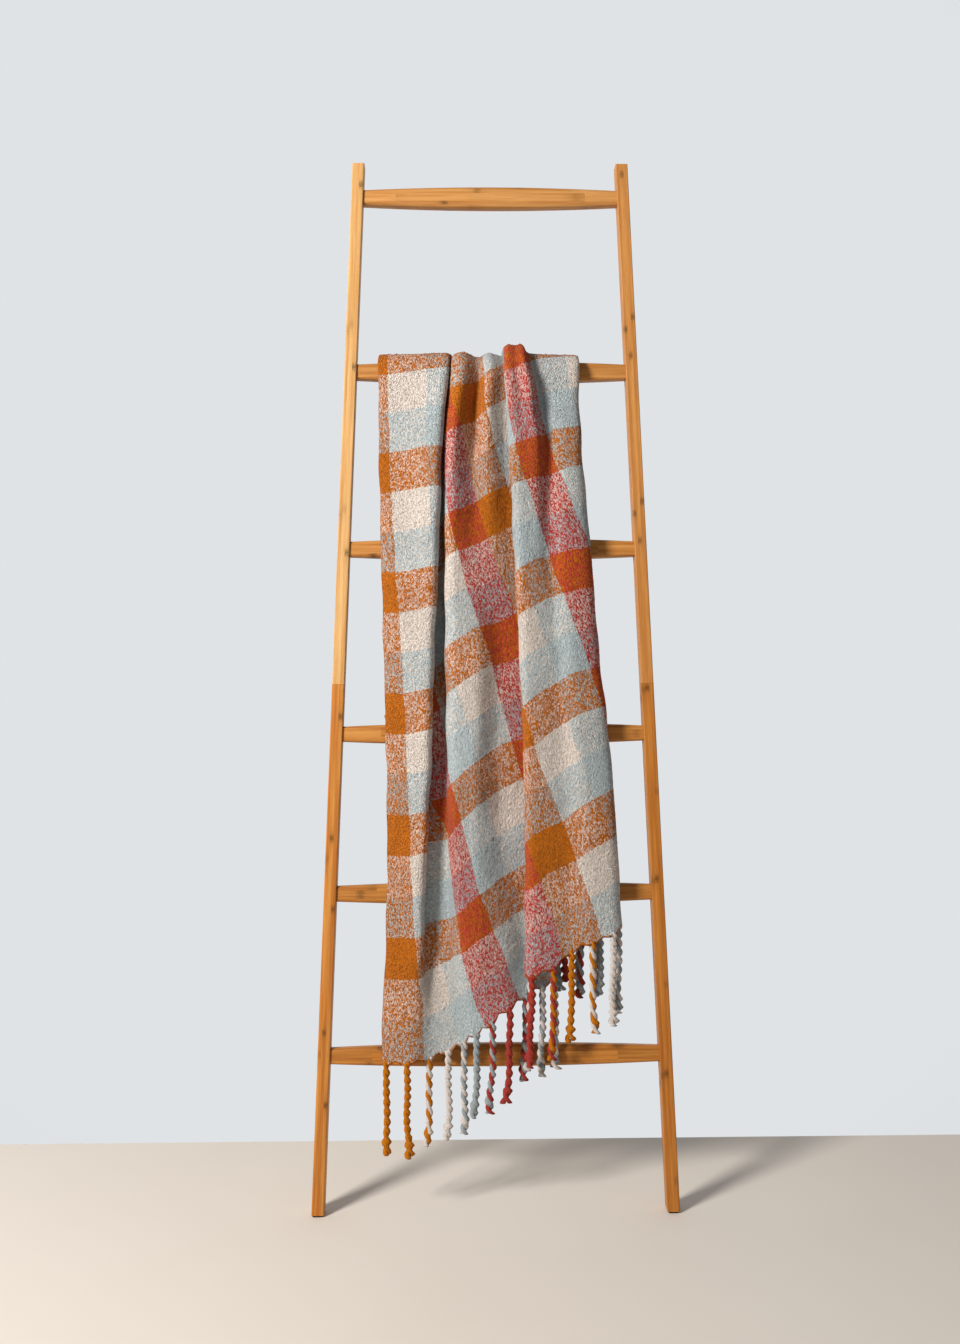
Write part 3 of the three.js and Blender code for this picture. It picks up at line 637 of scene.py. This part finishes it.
def bamboo_material(name, place, along, pale, deep, seed):
    """Laminated bamboo. place is the piece's own frame, and along the axis of it that the strips run in."""
    n = Nodes(name)
    where = n.add("TexCoord").outputs["Object"]
    local = n.add("Mapping", where, vector_type="TEXTURE")
    local.inputs["Location"].default_value = place.to_translation()
    local.inputs["Rotation"].default_value = place.to_euler("XYZ")
    parts = list(n.add("SeparateXYZ", local.outputs[0]).outputs)
    length = parts.pop(along)
    first, second = parts
    cell_a = n.math("FLOOR", n.math("MULTIPLY", n.math("ADD", first, STRIP_EDGES[0]), 1 / STRIP))
    cell_b = n.math("FLOOR", n.math("MULTIPLY", n.math("ADD", second, STRIP_EDGES[1]), 1 / STRIP / 2))
    cell = n.add("CombineXYZ", cell_a, cell_b, float(seed)).outputs[0]
    lot = n.add("TexWhiteNoise", cell, noise_dimensions="3D").outputs["Value"]
    grain_at = n.add(
        "CombineXYZ", n.math("ADD", first, lot), second, n.math("MULTIPLY", length, 0.03)
    ).outputs[0]
    fibre = n.noise(grain_at, 900.0, 3.0, 0.6)
    broad = n.noise(grain_at, 160.0, 2.0, 0.5)
    # The cane's nodes show as a short dark scar across each strip, at a different place on each.
    step = n.math("ADD", n.math("DIVIDE", length, CANE_NODE), n.math("MULTIPLY", lot, 7.0))
    ragged = n.mapped(n.noise(local.outputs[0], 500.0, 3.0, 0.7), 0.3, 0.7, -0.006, 0.006)
    along_cane = n.math("MULTIPLY", n.math("SUBTRACT", n.math("FRACT", step), 0.5), CANE_NODE)
    off = n.math("ADD", along_cane, ragged)
    scar = n.mapped(n.math("ABSOLUTE", off), 0.001, 0.008, 1.0, 0.0)
    halo = n.mapped(n.math("ABSOLUTE", off), 0.004, 0.03, 1.0, 0.0)
    strong = n.mapped(n.math("FRACT", n.math("MULTIPLY", lot, 37.0)), 0.2, 0.9, 0.15, 0.75)
    base = n.mix(n.mapped(broad, 0.35, 0.65), colour(pale), colour(deep))
    streaks = n.mapped(fibre, 0.35, 0.7, 1.06, 0.84)
    tint = n.mapped(lot, 0.0, 1.0, 0.9, 1.07)
    base = n.mix(1.0, base, n.math("MULTIPLY", streaks, tint), "MULTIPLY")
    base = n.mix(n.math("MULTIPLY", halo, 0.22), base, colour([c * 0.78 for c in deep]))
    base = n.mix(n.math("MULTIPLY", scar, strong), base, colour([c * 0.45 for c in deep]))
    n.set(
        Base_Color=base,
        Roughness=n.mapped(fibre, 0.3, 0.7, 0.42, 0.52),
        Specular_IOR_Level=0.28,
        Normal=n.bump(fibre, 0.25, 0.0006),
    )
    return n.material


def plain_material(name, rgb, roughness, metallic, grain, depth):
    n = Nodes(name)
    where = n.add("TexCoord").outputs["Object"]
    texture = n.noise(where, grain, 3.0)
    n.set(
        Base_Color=n.mix(n.mapped(texture, 0.3, 0.7), colour([c * 0.85 for c in rgb]), colour(rgb)),
        Roughness=n.mapped(texture, 0.3, 0.7, roughness - 0.06, roughness + 0.06),
        Metallic=metallic,
        Normal=n.bump(texture, 0.2, depth),
    )
    return n.material


def finish_node(name, material):
    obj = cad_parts[name]
    obj.data.materials.clear()
    obj.data.materials.append(material)


def finish_rails():
    # Painted light and shade: the left rail's tones are paler than the right rail's, as if lit from the
    # left, and the lower halves' tones are darker, as painted shade where the light falls off.
    lit_and_shaded_tones = {
        "rail_left_upper": ((222, 176, 116), (200, 144, 78)),
        "rail_left_lower": ((202, 136, 62), (180, 106, 36)),
        "rail_right_upper": ((204, 142, 76), (184, 118, 54)),
        "rail_right_lower": ((196, 126, 52), (168, 98, 30)),
    }
    for seed, (name, (pale, deep)) in enumerate(lit_and_shaded_tones.items()):
        side = -1 if "left" in name else 1
        place = (
            TO_ROW
            @ Matrix.Translation((side * FOOT_X / 1000, RAIL_DEPTH / 2000, 0))
            @ Matrix.Rotation(-side * SPLAY, 4, "Y")
        )
        finish_node(name, bamboo_material(f"bamboo_{name}", place, 2, pale, deep, seed))


def finish_rungs():
    """The rungs' bamboo is painted palest at the top, and darker and warmer towards the floor: painted
    shade, with the warm light that a wooden floor bounces up painted into the colour.
    """
    for number, height in enumerate(RUNG_HEIGHTS, 1):
        place = TO_ROW @ Matrix.Translation((0, RAIL_DEPTH / 2000, height / 1000))
        # Painted shade and painted bounce light: the lower the rung, the darker and warmer its colour.
        painted_shade_and_bounce = 1 - height / RUNG_HEIGHTS[-1]
        pale = (206 - 14 * painted_shade_and_bounce, 148 - 22 * painted_shade_and_bounce, 84 - 32 * painted_shade_and_bounce)
        deep = (182 - 18 * painted_shade_and_bounce, 118 - 22 * painted_shade_and_bounce, 54 - 24 * painted_shade_and_bounce)
        material = bamboo_material(f"bamboo_rung_{number}", place, 0, pale, deep, 10 + number)
        finish_node(f"rung_{number}", material)


def finish_fittings():
    steel = plain_material(
        "zinc_plated_steel", (178, 178, 180), roughness=0.35, metallic=1.0, grain=400.0, depth=0.0002
    )
    rubber = plain_material(
        "black_rubber", (38, 35, 33), roughness=0.85, metallic=0.0, grain=900.0, depth=0.0004
    )
    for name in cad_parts:
        if "bolt" in name or "stud" in name:
            finish_node(name, steel)
        elif "pad" in name:
            finish_node(name, rubber)


# ---------- the studio ----------

# Fitted to the lines of the photo's ladder and floor.
CAMERA_AT = (-0.0655, -2.2584, 1.0372)
CAMERA_TURN = (-1.125, -4.595, 0.125)  # yaw, pitch and roll in degrees
LENS, SENSOR_HEIGHT = 36.99, 36
WALL_Y = 0.15  # where a wall would stand


def build_camera():
    yaw, pitch, roll = (math.radians(angle) for angle in CAMERA_TURN)
    turn = Matrix.Rotation(yaw, 3, "Z") @ Matrix.Rotation(pitch, 3, "X") @ Matrix.Rotation(roll, 3, "Y")
    right, forward, up = turn.col[0], turn.col[1], turn.col[2]
    axes = Matrix((right, up, -forward)).transposed()
    data = bpy.data.cameras.new("camera")
    data.sensor_fit = "VERTICAL"
    data.sensor_height = SENSOR_HEIGHT
    data.lens = LENS
    camera = bpy.data.objects.new("camera", data)
    camera.matrix_world = Matrix.Translation(CAMERA_AT) @ axes.to_4x4()
    bpy.context.scene.collection.objects.link(camera)
    bpy.context.scene.camera = camera


def area_light(name, at, aim, size, power, tint):
    data = bpy.data.lights.new(name, "AREA")
    data.shape = "DISK"
    data.size = size
    data.energy = power
    data.color = tint
    lamp = bpy.data.objects.new(name, data)
    lamp.location = at
    lamp.rotation_euler = (Vector(aim) - Vector(at)).to_track_quat("-Z", "Y").to_euler()
    bpy.context.scene.collection.objects.link(lamp)


def build_floor():
    """A plain pale floor that ends where a wall would stand."""
    mesh = bpy.data.meshes.new("floor")
    half = 9
    corners = [(-half, -half, 0), (half, -half, 0), (half, WALL_Y, 0), (-half, WALL_Y, 0)]
    mesh.from_pydata(corners, [], [(0, 1, 2, 3)])
    floor = bpy.data.objects.new("floor", mesh)
    bpy.context.scene.collection.objects.link(floor)
    n = Nodes("pale_floor")
    where = n.add("TexCoord").outputs["Object"]
    n.set(
        Base_Color=n.mix(n.noise(where, 3.0), colour((214, 204, 192)), colour((220, 211, 200))),
        Roughness=0.8,
    )
    mesh.materials.append(n.material)


def build_world():
    """The studio is brightest on the side behind the ladder and dims towards the front."""
    world = bpy.data.worlds.new("studio")
    world.use_nodes = True
    tree = world.node_tree
    way = tree.nodes.new("ShaderNodeTexCoord")
    parts = tree.nodes.new("ShaderNodeSeparateXYZ")
    glow = tree.nodes.new("ShaderNodeMapRange")
    tree.links.new(way.outputs["Generated"], parts.inputs[0])
    tree.links.new(parts.outputs["Y"], glow.inputs["Value"])
    tree.links.new(glow.outputs["Result"], tree.nodes["Background"].inputs["Strength"])
    for socket, value in (("From Min", -0.2), ("From Max", 0.9), ("To Min", 0.18), ("To Max", 0.98)):
        glow.inputs[socket].default_value = value
    tree.nodes["Background"].inputs["Color"].default_value = colour((226, 229, 232))
    bpy.context.scene.world = world


def build_studio():
    build_floor()
    build_world()
    area_light("key", (-2.1, -1.9, 2.3), aim=(0, 0, 1.0), size=0.8, power=134, tint=(1.0, 0.98, 0.95))
    area_light("fill", (2.4, -2.6, 1.6), aim=(0, 0, 0.8), size=2.0, power=5, tint=(0.97, 0.98, 1.0))
    bpy.context.scene.view_settings.view_transform = "Standard"


build_camera()
build_studio()
finish_rails()
finish_rungs()
finish_fittings()
drape = Drape()
throw = build_throw(drape)
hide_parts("throw")
tassels = build_tassels(drape)
